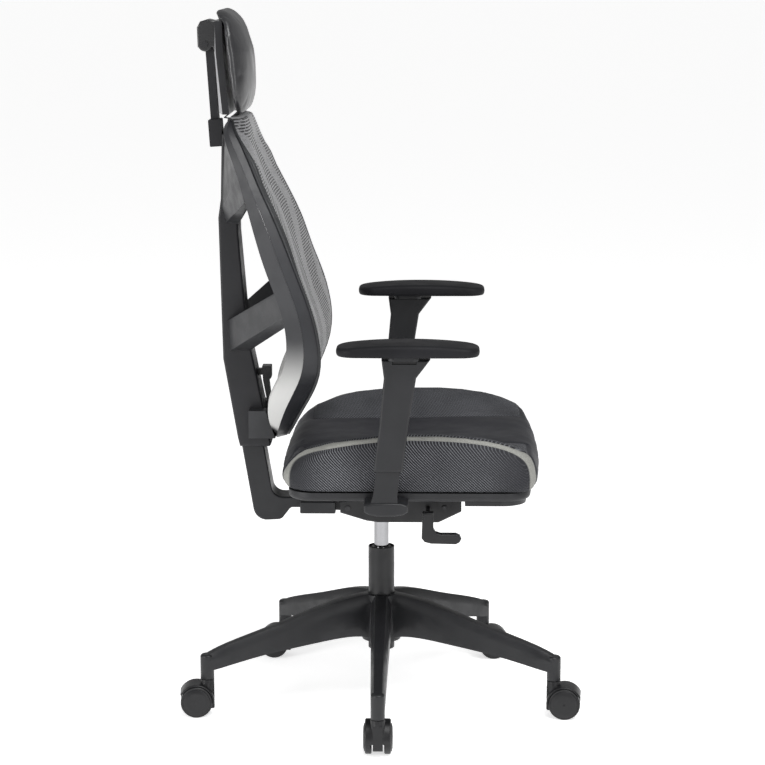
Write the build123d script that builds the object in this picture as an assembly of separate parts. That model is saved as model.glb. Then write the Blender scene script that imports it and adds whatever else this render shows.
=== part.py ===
from build123d import *
import os
from math import cos, hypot, radians, sin, tan

# A swivel chair with a mesh back, a headrest and adjustable armrests, in millimetres.
# The origin is on the floor under the gas column. The sitter faces -Y, +Z is up, and the
# sitter's right hand is at -X.

# ---------------------------------------------------------------- driving dimensions
# Base
LEG_COUNT = 5
LEG_FIRST_ANGLE = 180            # one leg points along -X
BASE_RADIUS = 345                # column axis to caster stem
SOCKET_LOW, SOCKET_TOP = 72, 119 # the round block at a leg's end
SOCKET_RADIUS = 13
STEM_RADIUS = 5.5
HUB_LOW, HUB_TOP = 122, 212
# Casters
WHEEL_RADIUS = 30
CASTER_TRAIL = 21                # stem axis to axle
WHEEL_INNER, TREAD_OUTER, WHEEL_OUTER = 11.5, 23.5, 27.5
CASTER_TOP = 70.5
AXLE_RADIUS = 4
CASTER_HEADINGS = (0, -95, -82, 82, 95)   # where each caster trails, in degrees from +X
# Gas column
TUBE_RADIUS, TUBE_LOW, TUBE_TOP = 25, 104, 305
TUBE_BORE = 23
CYLINDER_RADIUS, CYLINDER_LOW, CYLINDER_TOP = 14, 175, 392
ROD_RADIUS, ROD_LOW, ROD_TOP = 5, 97, 262
RUNNING = 0.05                   # radial clearance of a running fit
GAP = 0.3                        # clearance between sliding or neighbouring parts
# Tilt mechanism
HOUSING_HALF, HOUSING_WALL = 80, 4
HOUSING_LOW = 369
RECLINE_Y, RECLINE_Z = 62, 396   # axis of the backrest recline
TILT_Y, TILT_Z = -120, 400       # axis of the seat tilt
LEVER_Y, LEVER_Z = -89, 398      # axis of the height lever
SPRING_RADIUS, SPRING_WIRE = 8.4, 1.8
SPRING_PITCH, SPRING_LENGTH = 4.6, 69
PLATE_LOW, PLATE_TOP = 436, 441
# Seat
SEAT_HALF = 262
SEAT_FRONT, SEAT_REAR = -299, 186
SEAT_FRONT_BOW, SEAT_REAR_BOW = 14, 10   # how far each end's middle stands out from its corners
PAN_LOW, PAN_RIM, PAN_TOP = 441, 448, 464
BOARD_THICKNESS = 12
PLATE_BOLT_X, PLATE_BOLT_Y = 74, (-95, 90)
# Back
SLIDE_LEAN = 9.6                 # lean of the back-height slide, degrees from vertical
BAR_HALF = 31                    # half width of the J-bar
SPINE_HALF = 39
BLADE_TOP = 625
BLADE_FRONT, BLADE_REAR = 221, 263   # the blade's faces at z 500
LATCH_HALF = 13
J_BOLTS = ((-17, 122), (17, 107))   # x and y of the bolts that hold the J-bar
MESH_INSET, MESH_BEHIND = 17.8, 4    # the mesh's edge from the hoop's crease and front edge
MESH_THICKNESS, MESH_HOLLOW = 2, 0.037
PIVOT_Y, PIVOT_Z = 324, 1260     # axis of the headrest tilt
POST_LEAN = 3.75
POST_HALF = 17
# Armrests
ARM_X = 306
ARM_LEAN = 7                     # the armrest post leans forward, degrees
ARM_BOLT_X, ARM_BOLT_Y = (150, 200), (-33, 5)
POST_DEPTH, POST_WIDTH = 43, 24
LEFT_ARM_RAISE = 22              # the left armrest stands this much higher on its post
LEFT_PAD_FORWARD = 20            # and its pad is slid this much further forward
PAD_LENGTH, PAD_WIDTH = 253, 95

PARTS = {}


# ---------------------------------------------------------------- helpers
def add(name, shape):
    """Keep a finished piece under the name of its file."""
    PARTS[name] = shape


def prism(points, x_low, x_high):
    """A solid with an outline of (y, z) points, from x_low to x_high."""
    outline = make_face(Polyline(*points, close=True))
    return Pos(x_low, 0, 0) * extrude(Plane.YZ * outline, x_high - x_low)


def rounded_prism(points, corners, x_low, x_high):
    """A prism whose outline is rounded: corners maps a point's index to its radius."""
    outline = make_face(Polyline(*points, close=True))
    for index, radius in corners.items():
        corner = outline.vertices().sort_by_distance(points[index])[0]
        outline = fillet(corner, radius)
    return Pos(x_low, 0, 0) * extrude(Plane.YZ * outline, x_high - x_low)


def rod_x(radius, x_low, x_high, y, z):
    """A round bar along X."""
    middle = (x_low + x_high) / 2
    return Pos(middle, y, z) * Rot(0, 90, 0) * Cylinder(radius, x_high - x_low)


def rod_z(radius, z_low, z_high, x=0, y=0):
    """A round bar along Z."""
    return Pos(x, y, (z_low + z_high) / 2) * Cylinder(radius, z_high - z_low)


def block(x_low, x_high, y_low, y_high, z_low, z_high):
    """A plain box between two corners."""
    centre = ((x_low + x_high) / 2, (y_low + y_high) / 2, (z_low + z_high) / 2)
    return Pos(*centre) * Box(x_high - x_low, y_high - y_low, z_high - z_low)


def hex_bolt(x, y, head_low, head_high, shank_top, across_flats=13, shank=4):
    """A bolt whose hexagon head is at the bottom, with a washer face."""
    head = Pos(x, y, head_low) * extrude(RegularPolygon(across_flats / 2, 6, major_radius=False),
                                         head_high - 1.5 - head_low)
    washer = rod_z(across_flats / 2 + 2, head_high - 1.5, head_high, x, y)
    return head + washer + rod_z(shank, head_high, shank_top, x, y)


def leaned(degrees, y=0, z=0):
    """A frame whose Z leans towards +Y by so many degrees, at (y, z)."""
    return Location((0, y, z), (-degrees, 0, 0))


def both_sides(shape):
    """A shape and its mirror image across the middle plane."""
    return shape, mirror(shape, about=Plane.YZ)


# ---------------------------------------------------------------- star base
def leg():
    """One leg along +X: a tapering bar with a narrow top face and bevelled shoulders."""
    stations = [  # radius, top, shoulder and bottom heights, half widths at top and shoulder
        (12, 214, 197, 122, 11.0, 19.0),
        (70, 207, 189, 133, 10.5, 18.5),
        (130, 191, 173, 127, 10.0, 17.5),
        (200, 168, 152, 117, 9.0, 16.0),
        (275, 145, 130, 103, 8.0, 14.5),
        (345, 119, 108, 88, 7.0, 13.0),
    ]
    sections = []
    for radius, top, shoulder, bottom, half_top, half_shoulder in stations:
        outline = Polyline((-half_shoulder, bottom), (-half_shoulder, shoulder), (-half_top, top),
                           (half_top, top), (half_shoulder, shoulder), (half_shoulder, bottom),
                           close=True)
        sections.append(Plane((radius, 0, 0), x_dir=(0, 1, 0), z_dir=(1, 0, 0)) * make_face(outline))
    return loft(sections)


def star_base():
    """The moulded five-star base: hub, legs and the sockets for the caster stems."""
    socket = fillet(rod_z(SOCKET_RADIUS, SOCKET_LOW, SOCKET_TOP, BASE_RADIUS).edges()
                    .sort_by(Axis.Z)[-1], 5)
    one = leg() + socket - rod_z(STEM_RADIUS, SOCKET_LOW - 1, SOCKET_TOP - 8, BASE_RADIUS)
    hub = Pos(0, 0, (HUB_LOW + HUB_TOP) / 2) * Cone(37, 31, HUB_TOP - HUB_LOW)
    base = fillet(hub.edges().sort_by(Axis.Z)[-1], 2)
    for i in range(LEG_COUNT):
        base = base + Rot(0, 0, LEG_FIRST_ANGLE + 360 / LEG_COUNT * i) * one
    return base - rod_z(TUBE_RADIUS, HUB_LOW - 5, HUB_TOP + 10)


def stem_place(i):
    """Where the stem of caster i stands."""
    angle = radians(LEG_FIRST_ANGLE + 360 / LEG_COUNT * i)
    return Pos(BASE_RADIUS * cos(angle), BASE_RADIUS * sin(angle), 0)


def caster_stem():
    """A steel pin: pressed into the leg, with the caster body turning on its lower end."""
    return rod_z(STEM_RADIUS, 46, 108)


# ---------------------------------------------------------------- casters, trailing along +X
def wheel_ring(radius, y_low, y_high):
    """A disc on the axle's axis."""
    return (Pos(CASTER_TRAIL, (y_low + y_high) / 2, WHEEL_RADIUS) * Rot(90, 0, 0)
            * Cylinder(radius, y_high - y_low))


def caster_body():
    """The neck, the web between the wheels and the hood over them."""
    neck = rod_z(SOCKET_RADIUS, 34, CASTER_TOP)
    web = block(-13, CASTER_TRAIL, -8.75, 8.75, 14, 60)
    web = fillet(web.edges().filter_by(Axis.Y).sort_by(Axis.Z)[:2], 3) + wheel_ring(26, -8.75, 8.75)
    hood = wheel_ring(WHEEL_RADIUS + 4, -23.5, 23.5)
    hood = fillet(hood.edges(), 3)
    below = Pos(CASTER_TRAIL, 0, WHEEL_RADIUS) * Rot(0, -16, 0) * Pos(0, 0, -34) * Box(120, 80, 80)
    hood = hood - below
    body = neck + web + hood
    clear = WHEEL_RADIUS + 1.3
    body = body - wheel_ring(clear, 10.6, 40) - wheel_ring(clear, -40, -10.6)
    body = body - wheel_ring(AXLE_RADIUS, -40, 40)
    return body - rod_z(STEM_RADIUS + RUNNING, 45.6, CASTER_TOP + 1)


def caster_wheel():
    """One wheel at the +Y side: a tread with a raised, crowned disc on its outside."""
    profile = Polyline((0, WHEEL_INNER), (28.5, WHEEL_INNER), (30, WHEEL_INNER + 1.5),
                       (30, TREAD_OUTER - 1.5), (28.5, TREAD_OUTER), (26, TREAD_OUTER),
                       (25.2, TREAD_OUTER + 1.6), (19, WHEEL_OUTER - 0.7), (0, WHEEL_OUTER), close=True)
    wheel = revolve(make_face(profile), Axis.Y)
    wheel = Pos(CASTER_TRAIL, 0, WHEEL_RADIUS) * wheel
    return wheel - wheel_ring(AXLE_RADIUS + RUNNING, 0, 22.4)


def casters():
    """Five casters, each with its body, its axle and its pair of wheels."""
    stems = []
    body = caster_body()
    wheel = caster_wheel()
    for i in range(LEG_COUNT):
        place = stem_place(i) * Rot(0, 0, CASTER_HEADINGS[i])
        add(f"caster_{i + 1}_body", place * body)
        add(f"caster_{i + 1}_axle", place * wheel_ring(AXLE_RADIUS, -22, 22))
        pair = [place * wheel, place * mirror(wheel, about=Plane.XZ)]
        add(f"caster_{i + 1}_wheels", Compound(children=pair))
        stems.append(stem_place(i) * caster_stem())
    add("caster_stems", Compound(children=stems))


# ---------------------------------------------------------------- gas column
def column():
    """The outer tube with its guide, and the gas cylinder that rises on its rod."""
    tube = rod_z(TUBE_RADIUS, TUBE_LOW, TUBE_TOP) - rod_z(TUBE_BORE, TUBE_LOW + 5, TUBE_TOP + 1)
    tube = tube - rod_z(ROD_RADIUS + RUNNING, TUBE_LOW - 1, TUBE_LOW + 6)
    add("column_tube", fillet(tube.edges().group_by(Axis.Z)[-1], 0.8))
    bushing = rod_z(TUBE_BORE, 225, TUBE_TOP - 3) + rod_z(18.5, TUBE_TOP - 3, TUBE_TOP - 1)
    add("column_bushing", bushing - rod_z(CYLINDER_RADIUS + RUNNING, 220, TUBE_TOP + 1))
    bearing = rod_z(13, TUBE_LOW + 5, TUBE_LOW + 10)
    add("thrust_bearing", bearing - rod_z(ROD_RADIUS + GAP, TUBE_LOW, TUBE_LOW + 12))
    add("piston_rod", rod_z(ROD_RADIUS, ROD_LOW, ROD_TOP)
        + rod_z(12 - RUNNING, ROD_TOP - 12, ROD_TOP))
    clip = rod_z(9, TUBE_LOW - 4, TUBE_LOW - 2) - rod_z(ROD_RADIUS, TUBE_LOW - 5, TUBE_LOW)
    add("retaining_clip", clip)
    cylinder = rod_z(CYLINDER_RADIUS, CYLINDER_LOW, CYLINDER_TOP)
    cylinder = cylinder - rod_z(12, CYLINDER_LOW + 12, 335)
    add("gas_cylinder", cylinder - rod_z(ROD_RADIUS + RUNNING, CYLINDER_LOW - 1, CYLINDER_LOW + 13))


# ---------------------------------------------------------------- tilt mechanism
def mechanism():
    """The pressed tray on the column, the pins it carries, and the recline spring."""
    tray = prism([(-152, 424), (-152, 390), (-109, HOUSING_LOW), (6, HOUSING_LOW), (27, 372),
                  (76, 387), (76, 408)], -HOUSING_HALF, HOUSING_HALF)
    tray = fillet(tray.edges().filter_by(lambda e: e.center().Z < 392 and abs(e.center().X) > 79), 4)
    inside = HOUSING_HALF - HOUSING_WALL
    hollow = prism([(-148, 430), (-148, 393), (-107, 373), (6, 373), (27, 376), (45, 381),
                    (45, 360), (82, 360), (82, 430)], -inside, inside)
    housing = tray - hollow + rod_z(24, HOUSING_LOW + 2, 400)
    housing = housing - rod_z(CYLINDER_RADIUS, HOUSING_LOW - 1, 401)
    housing = housing - rod_x(5, -90, 90, RECLINE_Y, RECLINE_Z)
    housing = housing - rod_x(4, -90, 90, TILT_Y, TILT_Z)
    add("mech_housing", housing - rod_x(4 + RUNNING, -90, 0, LEVER_Y, LEVER_Z))
    add("recline_pin", rod_x(5, -83, 83, RECLINE_Y, RECLINE_Z))
    add("tilt_pin", rod_x(4, -91, 91, TILT_Y, TILT_Z))
    coil = Helix(pitch=SPRING_PITCH, height=SPRING_LENGTH, radius=SPRING_RADIUS,
                 center=(-SPRING_LENGTH / 2, RECLINE_Y, RECLINE_Z), direction=(1, 0, 0))
    wire = Plane(coil @ 0, z_dir=coil % 0) * Circle(SPRING_WIRE)
    add("recline_spring", sweep(wire, path=coil))


def recline_bracket():
    """The block that carries the J-bar and turns on the recline pin."""
    bracket = prism([(85, 408), (152, 408), (152, 385), (85, 385)], -78, 78)
    bracket = fillet(bracket.edges(), 2.5)
    for x_low in (-58, 42):
        ear = prism([(RECLINE_Y, 405), (88, 405), (88, 388), (RECLINE_Y, 387)], x_low, x_low + 16)
        bracket = bracket + ear + rod_x(9, x_low, x_low + 16, RECLINE_Y, RECLINE_Z)
    bracket = bracket - block(-BAR_HALF, BAR_HALF, 95, 160, 389, 403)
    bracket = bracket - rod_x(5 + RUNNING, -90, 90, RECLINE_Y, RECLINE_Z)
    for x, y in J_BOLTS:
        bracket = bracket - rod_z(4, 380, 402.5, x, y)
    return bracket


def lever():
    """The height lever: a rod out of the tray and a hanging handle with a paddle."""
    add("lever_rod", rod_x(4, -224, -52, LEVER_Y, LEVER_Z))
    stem = prism([(-79, 424), (-77.5, 376), (-83, 369), (-95, 366), (-140, 365), (-147, 369),
                  (-150, 375), (-147, 381), (-140, 384), (-112, 384), (-103, 387), (-99, 394),
                  (-99, 424)], -231, -213)
    stem = fillet(stem.edges().filter_by(lambda e: abs(abs(e.center().X + 222) - 9) < 0.1), 3)
    stem = stem - rod_x(4, -240, -200, LEVER_Y, LEVER_Z)
    add("lever_paddle", stem + rod_x(4, -231, -224, LEVER_Y, LEVER_Z))


# ---------------------------------------------------------------- seat
def seat_plan(inset, corner):
    """The seat's outline from above, with bowed front and rear edges."""
    half, front, rear = SEAT_HALF - inset, SEAT_FRONT + inset, SEAT_REAR - inset
    outline = [
        ThreePointArc((-half, front + SEAT_FRONT_BOW), (0, front), (half, front + SEAT_FRONT_BOW)),
        Line((half, front + SEAT_FRONT_BOW), (half, rear - SEAT_REAR_BOW)),
        ThreePointArc((half, rear - SEAT_REAR_BOW), (0, rear), (-half, rear - SEAT_REAR_BOW)),
        Line((-half, rear - SEAT_REAR_BOW), (-half, front + SEAT_FRONT_BOW)),
    ]
    face = make_face(outline)
    return fillet(face.vertices(), corner)


def seat():
    """The plate on the mechanism, the pan, the board in it and the cushion on top."""
    plate = block(-90, 90, -150, 122, PLATE_LOW, PLATE_TOP)
    ear = prism([(-140, 438), (-100, 438), (TILT_Y + 10, 396), (TILT_Y - 10, 396)], 82, 87)
    ear = ear + rod_x(10, 82, 87, TILT_Y, TILT_Z)
    for one in both_sides(ear):
        plate = plate + one
    plate = plate - rod_x(4 + RUNNING, -95, 95, TILT_Y, TILT_Z)
    pan = extrude(Pos(0, 0, PAN_RIM) * seat_plan(14, 50), PAN_TOP - PAN_RIM)
    pan = fillet(pan.edges().group_by(Axis.Z)[0], 7)
    pan = pan + extrude(Pos(0, 0, PAN_LOW) * seat_plan(58, 30), PAN_RIM - PAN_LOW)
    lip = extrude(Pos(0, 0, PAN_LOW - 2) * seat_plan(22, 46), PAN_RIM - PAN_LOW + 4)
    lip = lip & block(-300, 300, -300, -156, 430, 460)
    pan = pan + lip
    board = extrude(Pos(0, 0, PAN_TOP - BOARD_THICKNESS) * seat_plan(34, 30), BOARD_THICKNESS)
    pan = pan - board
    bolts = []
    for x in (-PLATE_BOLT_X, PLATE_BOLT_X):
        for y in PLATE_BOLT_Y:
            bolts.append(hex_bolt(x, y, PLATE_LOW - 5.5, PLATE_LOW, PAN_TOP - 4, 11, 3.5))
            plate = plate - rod_z(3.5, PLATE_LOW - 1, PLATE_TOP + 1, x, y)
    for side in (-1, 1):
        for y in ARM_BOLT_Y:
            for x in ARM_BOLT_X:
                bolts.append(hex_bolt(side * x, y, 430.5, 436, PAN_TOP - 4, 11, 3.5))
    for bolt in bolts:
        pan = pan - bolt
        board = board - bolt
    add("seat_plate", plate)
    add("seat_pan", pan)
    add("seat_board", board)
    add("seat_bolts", Compound(children=bolts))
    side = prism([(172, PAN_TOP), (SEAT_REAR, 480), (SEAT_REAR, 502), (174, 518), (142, 545), (106, 558),
                  (52, 566), (-53, 570), (-110, 570), (-164, 565), (-218, 554), (-256, 538),
                  (-290, 516), (SEAT_FRONT, 496), (SEAT_FRONT, 476), (-286, PAN_TOP)],
                 -SEAT_HALF, SEAT_HALF)
    add("seat_cushion", side & extrude(Pos(0, 0, 450) * seat_plan(0, 40), 150))


# ---------------------------------------------------------------- back
def lean_y(y, z):
    """The y at height z on the back-height slide's direction, through (y, 500)."""
    return y + (z - 500) * tan(radians(SLIDE_LEAN))


def j_bar():
    """The J-shaped bar from the mechanism up into the spine."""
    outline = [(152.3, 389), (152.3, 386), (172, 386), (190, 362.5),
               (lean_y(BLADE_REAR, 360), 360),
               (lean_y(BLADE_REAR, BLADE_TOP), BLADE_TOP), (lean_y(BLADE_FRONT, BLADE_TOP), BLADE_TOP),
               (lean_y(BLADE_FRONT, 406.5), 406.5), (152.3, 406.5), (152.3, 403), (100, 403), (100, 389)]
    bar = rounded_prism(outline, {2: 8, 3: 14, 4: 26, 7: 22}, -BAR_HALF, BAR_HALF)
    long_edges = bar.edges().filter_by(lambda e: abs(e.center().X) > BAR_HALF - 0.1 and e.center().Y > 175
                                       and e.center().Z < BLADE_TOP - 1)
    bar = fillet(long_edges, 3)
    for x, y in J_BOLTS:
        bar = bar - rod_z(4, 380, 402, x, y)
    return bar


# The spine's rear edge, from its foot to its top, as y and z.
SPINE_REAR = [(267, 506), (271, 522), (297, 674), (303, 940), (298, 975), (295, 1094), (291, 1098)]


def spine():
    """The tall hollow spar behind the mesh; its lower end slides on the J-bar."""
    outline = SPINE_REAR + [(276, 1098), (267, 1072), (266, 911), (255, 776), (243, 687), (221, 579),
                            (208, 510), (211, 506)]
    body = prism(outline, -SPINE_HALF, SPINE_HALF)
    body = fillet(body.edges().filter_by(lambda e: abs(e.center().X) > SPINE_HALF - 0.1), 4)
    low, high = 470, 690
    channel = prism([(lean_y(BLADE_FRONT - GAP, low), low), (lean_y(BLADE_REAR + GAP, low), low),
                     (lean_y(BLADE_REAR + GAP, high), high), (lean_y(BLADE_FRONT - GAP, high), high)],
                    -BAR_HALF - GAP, BAR_HALF + GAP)
    body = body - channel
    return body - block(-6.2, 6.2, 215, 262, 637.8, 650.2)


def yoke_arm():
    """The upper arm at -X, from the spine out to the hoop, whose slope its outer end follows."""
    at_spine = Plane((-SPINE_HALF + 1, 0, 1000), x_dir=(0, 1, 0), z_dir=(1, 0, 0))
    along = Vector(41, 0, 118).normalized()
    at_rail = Plane((-200, 0, 985), x_dir=(0, 1, 0), z_dir=Vector(0, 1, 0).cross(along))
    inner = Polyline((290, 90), (296, -42), (288, -68), (266, -72), (262, 80), close=True)
    outer = Polyline((276, 112), (254, 45), (241, 0), (222, 20), (256, 108), close=True)
    return loft([at_spine * make_face(inner), at_rail * make_face(outer)], ruled=True)


def strut():
    """The lower strut at -X, from the spine forward and up to the hoop."""
    at_spine = Plane((-SPINE_HALF + 1, 0, 0), x_dir=(0, 1, 0), z_dir=(1, 0, 0))
    at_rail = Plane((-247, 0, 0), x_dir=(0, 1, 0), z_dir=(1, 0, 0))
    inner = Polyline((289, 746), (284, 689), (246, 690), (252, 742), close=True)
    outer = Polyline((166, 840), (161, 791), (146, 780), (150, 826), close=True)
    return loft([at_spine * make_face(inner), at_rail * make_face(outer)], ruled=True)


# The hoop's outer crease runs through these points at its -X half: x, z, then the y of its
# rear edge, of the crease itself and of its front edge.
HOOP = [
    (0, 1130, 280, 271, 254),
    (-62, 1130, 280, 271, 254),
    (-118, 1127, 280, 271, 254),
    (-152, 1110, 282, 274, 256),
    (-173, 1075, 271, 259, 241),
    (-194, 1030, 254, 239, 221),
    (-220, 955, 231, 207, 185),
    (-243, 860, 201, 170, 145),
    (-255, 762, 168, 138, 112),
    (-247, 697, 169, 136, 106),
    (-212, 648, 188, 152, 117),
    (-152, 596, 206, 175, 142),
    (-82, 545, 205, 192, 167),
    (-35, 524, 203, 197, 177),
    (0, 520, 203, 197, 178),
]
HOOP_SECTIONS = 26


def hoop_line(column):
    """A smooth curve through the hoop's points, with y from one of their columns."""
    points = [(point[0], point[column], point[1]) for point in HOOP]
    return Spline(*points, tangents=[(-1, 0, 0), (1, 0, 0)])


def hoop_stations():
    """Sections along the hoop: plane, inward direction in x and z, and the three y values."""
    rear, crease, front = hoop_line(2), hoop_line(3), hoop_line(4)
    stations = []
    for i in range(HOOP_SECTIONS):
        t = i / (HOOP_SECTIONS - 1)
        place, along = crease @ t, crease % t
        length = hypot(along.X, along.Z)
        inward = (-along.Z / length, along.X / length)
        plane = Plane((place.X, 0, place.Z), x_dir=(inward[0], 0, inward[1]),
                      z_dir=Vector(inward[0], 0, inward[1]).cross(Vector(0, 1, 0)))
        stations.append((plane, place, inward, (rear @ t).Y, place.Y, (front @ t).Y))
    return stations


def hoop_half(outline):
    """Loft an outline along the hoop; it gives (inward, y) points from (rear, crease, front)."""
    sections = []
    for plane, place, inward, rear, crease, front in hoop_stations():
        sections.append(plane * make_face(Polyline(*outline(rear, crease, front), close=True)))
    return loft(sections)


def rear_moulding(rear, crease, front):
    """The hoop's rear half: from the crease back to the rear edge."""
    return [(0, crease), (7, rear), (17, rear), (16, crease)]


def front_moulding(rear, crease, front):
    """The mesh carrier: from the crease forward to the front edge."""
    return [(0, crease - GAP), (16, crease - GAP), (15, front + 3), (12, front), (5, front)]


def mesh_sheet():
    """The stretched mesh: a thin sheet inside the carrier, a little hollow in its middle."""
    sections = []
    for plane, place, inward, rear, crease, front in hoop_stations()[3:-1]:
        half = -place.X - MESH_INSET * inward[0]
        near = front + MESH_BEHIND
        far = near + MESH_THICKNESS
        sag = MESH_HOLLOW * half
        outline = [ThreePointArc((-half, near), (0, near + sag), (half, near)),
                   Line((half, near), (half, far)),
                   ThreePointArc((half, far), (0, far + sag), (-half, far)),
                   Line((-half, far), (-half, near))]
        sections.append(Pos(0, 0, place.Z + MESH_INSET * inward[1]) * make_face(outline))
    return loft(sections, ruled=True)


def main_solid(shape):
    """The largest solid of a shape that a cut may have left in pieces."""
    return shape.solids().sort_by(SortBy.VOLUME)[-1]


def back():
    """The spine, its arms and struts, the hoop, the carrier and the mesh."""
    spar = spine()
    rear = hoop_half(rear_moulding)
    carrier = hoop_half(front_moulding)
    lug = prism([(248, 580), (248, 528), (198, 528), (216, 580)], -70, -SPINE_HALF)
    half = rear + lug
    hoop = half + mirror(half, about=Plane.YZ)
    ring = carrier + mirror(carrier, about=Plane.YZ)
    hoop = hoop - spar
    arms = []
    for arm in both_sides(yoke_arm()):
        arms.append(main_solid(arm - spar - hoop - ring))
    struts = []
    for one in both_sides(strut()):
        struts.append(main_solid(one - spar - hoop - ring))
    add("spine", spar)
    add("back_yoke", Compound(children=arms))
    add("back_struts", Compound(children=struts))
    add("back_hoop", hoop)
    add("mesh_carrier", ring)
    add("back_mesh", mesh_sheet())
    latch = prism([(226, 656), (208, 656), (208, 634), (213, 628), (209, 590), (217, 590), (224, 628)],
                  -LATCH_HALF, LATCH_HALF)
    latch = fillet(latch.edges().filter_by(Axis.X), 1.5)
    add("height_latch", latch + block(-6, 6, 223, 252, 638, 650))


# ---------------------------------------------------------------- headrest
def head_shell():
    """The plate behind the headrest cushion, whose back bulges towards the post."""
    sections = []
    for z, front, edge, bulge in ((1136, 274, 286, 300.5), (1244, 284, 297, 307), (1304, 286, 299, 304)):
        outline = [Line((-112, front), (112, front)), Line((112, front), (112, edge)),
                   ThreePointArc((112, edge), (0, bulge), (-112, edge)), Line((-112, edge), (-112, front))]
        sections.append(Pos(0, 0, z) * make_face(outline))
    return loft(sections, ruled=True)


def headrest():
    """The bracket, the post, the tilting hood, the shell and its cushion."""
    frame = leaned(POST_LEAN, 308, 1100)
    bracket = frame * (Pos(0, 0, -4) * Box(46, 24, 50))
    bracket = fillet(bracket.edges().filter_by(Axis.X), 2)
    slot = frame * (Pos(0, 0, 20) * Box(2 * POST_HALF + 2 * GAP, 14 + 2 * GAP, 90))
    behind_spine = prism(SPINE_REAR + [(240, 1098), (240, 506)], -SPINE_HALF, SPINE_HALF)
    add("post_bracket", bracket - slot - behind_spine)
    post = frame * (Pos(0, 0, 65) * Box(2 * POST_HALF, 14, 178))
    post = post - frame * (Pos(0, 0, 70) * Box(10, 30, 90))
    post = fillet(post.edges().filter_by(Axis.X), 1.5) + rod_x(13, -POST_HALF, POST_HALF, PIVOT_Y, PIVOT_Z)
    add("head_post", post - rod_x(5, -40, 40, PIVOT_Y, PIVOT_Z))
    add("head_pin", rod_x(5, -33, 33, PIVOT_Y, PIVOT_Z))
    hood = prism([(338, 1254), (339, 1290), (333, 1301), (320, 1305), (306, 1302), (296, 1290),
                  (293, 1240), (303, 1240), (310, 1254)], -30, 30)
    hood = hood + rod_x(14, -30, 30, PIVOT_Y, PIVOT_Z)
    hood = fillet(hood.edges().filter_by(lambda e: abs(e.center().X) > 29.9), 3)
    room = POST_HALF + 0.6
    hood = hood - rod_x(15, -room, room, PIVOT_Y, PIVOT_Z)
    hood = hood - block(-room, room, 302, 345, 1230, PIVOT_Z) - block(-room, room, 309, 345, 1255, 1275)
    hood = hood - rod_x(5 + RUNNING, -40, 40, PIVOT_Y, PIVOT_Z)
    shell = head_shell()
    add("head_hood", hood - shell)
    add("head_shell", shell)
    cushion = prism([(285, 1325), (268, 1318), (255, 1301), (243, 1281), (234, 1253), (230, 1219),
                     (232, 1188), (237, 1160), (244, 1146), (253, 1138), (265, 1135), (270, 1178),
                     (275, 1240), (279, 1300)], -140, 140)
    ends = cushion.edges().filter_by(lambda e: abs(e.center().X) > 139.9 and e.center().Y < 262)
    add("head_cushion", fillet(ends, 10))


# ---------------------------------------------------------------- armrests
def armrest(name, side, raise_by, forward):
    """One armrest: an L bracket with its post, the sleeve on it, and the sliding pad."""
    slope = sin(radians(ARM_LEAN)) / cos(radians(ARM_LEAN))
    x_low, x_high = ARM_X - POST_WIDTH / 2, ARM_X + POST_WIDTH / 2

    def at(z, y):
        """A point of the post's own frame: y is measured from its leaning axis."""
        return (-12 - (z - 470) * slope + y, z)

    half = POST_DEPTH / 2
    foot = prism([(25, 458), (25, 446), (17, 441), (0, 438), (-28, 438), (-45, 441), (-53, 446),
                  (-53, 458), (-40, 462), (12, 462)], 257, x_high + 4)
    foot = fillet(foot.edges().filter_by(lambda e: abs(e.center().X - x_high - 4) < 0.1), 4)
    post = prism([at(450, half + 5), at(474, half), at(640, half), at(640, -half), at(474, -half),
                  at(450, -half - 5)], x_low, x_high)
    plate = block(120, 262, -48, 20, 436, 440.5)
    bracket = foot + post + plate
    for y in ARM_BOLT_Y:
        for x in ARM_BOLT_X:
            bracket = bracket - rod_z(3.5, 430, 445, x, y)

    low, top = 519, 721
    outer = prism([at(low, half + 4.5), at(600, half + 4), at(688, half + 7), (-6, top), (-92, top),
                   at(688, -half - 7), at(600, -half - 4), at(low, -half - 4.5)],
                  x_low - 4.5, x_high + 4.5)
    outer_half = POST_WIDTH / 2 + 4.5
    outer = fillet(outer.edges().filter_by(lambda e: abs(abs(e.center().X - ARM_X) - outer_half) < 0.1), 4)
    cavity = prism([at(low - 5, half + GAP), at(685, half + GAP), at(685, -half - GAP),
                    at(low - 5, -half - GAP)], x_low - GAP, x_high + GAP)
    sleeve = outer - cavity
    face = x_high + 4.5
    button_room = block(face - 10, face + 1, -68, -25, 713, top + 1)
    button = block(face - 7, face - 3, -67.5, -25.5, 713.5, top - 0.5)
    button = fillet(button.edges().filter_by(Axis.X), 2)
    sleeve = sleeve - button_room
    carrier = fillet(block(ARM_X - 32, ARM_X + 32, -72, -18, top, top + 6).edges().filter_by(Axis.Z), 10)
    lift = Pos(0, -raise_by * slope, raise_by)

    pad = extrude(Pos(ARM_X, -52.5, 727.5) * pad_plan(0), 26)
    crown = prism([(80, 728), (74, 741), (66, 751), (20, 757), (-60, 757), (-150, 754), (-172, 748),
                   (-181, 739), (-175, 731), (-150, 727.5), (60, 727.5)], 200, 400)
    pad = pad & crown

    def place(shape):
        return shape if side > 0 else mirror(shape, about=Plane.YZ)

    add(f"arm_bracket_{name}", place(bracket))
    add(f"arm_sleeve_{name}", place(lift * sleeve))
    add(f"arm_button_{name}", place(lift * button))
    add(f"arm_plate_{name}", place(lift * carrier))
    add(f"arm_pad_{name}", place(lift * Pos(0, -forward, 0) * pad))


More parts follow.
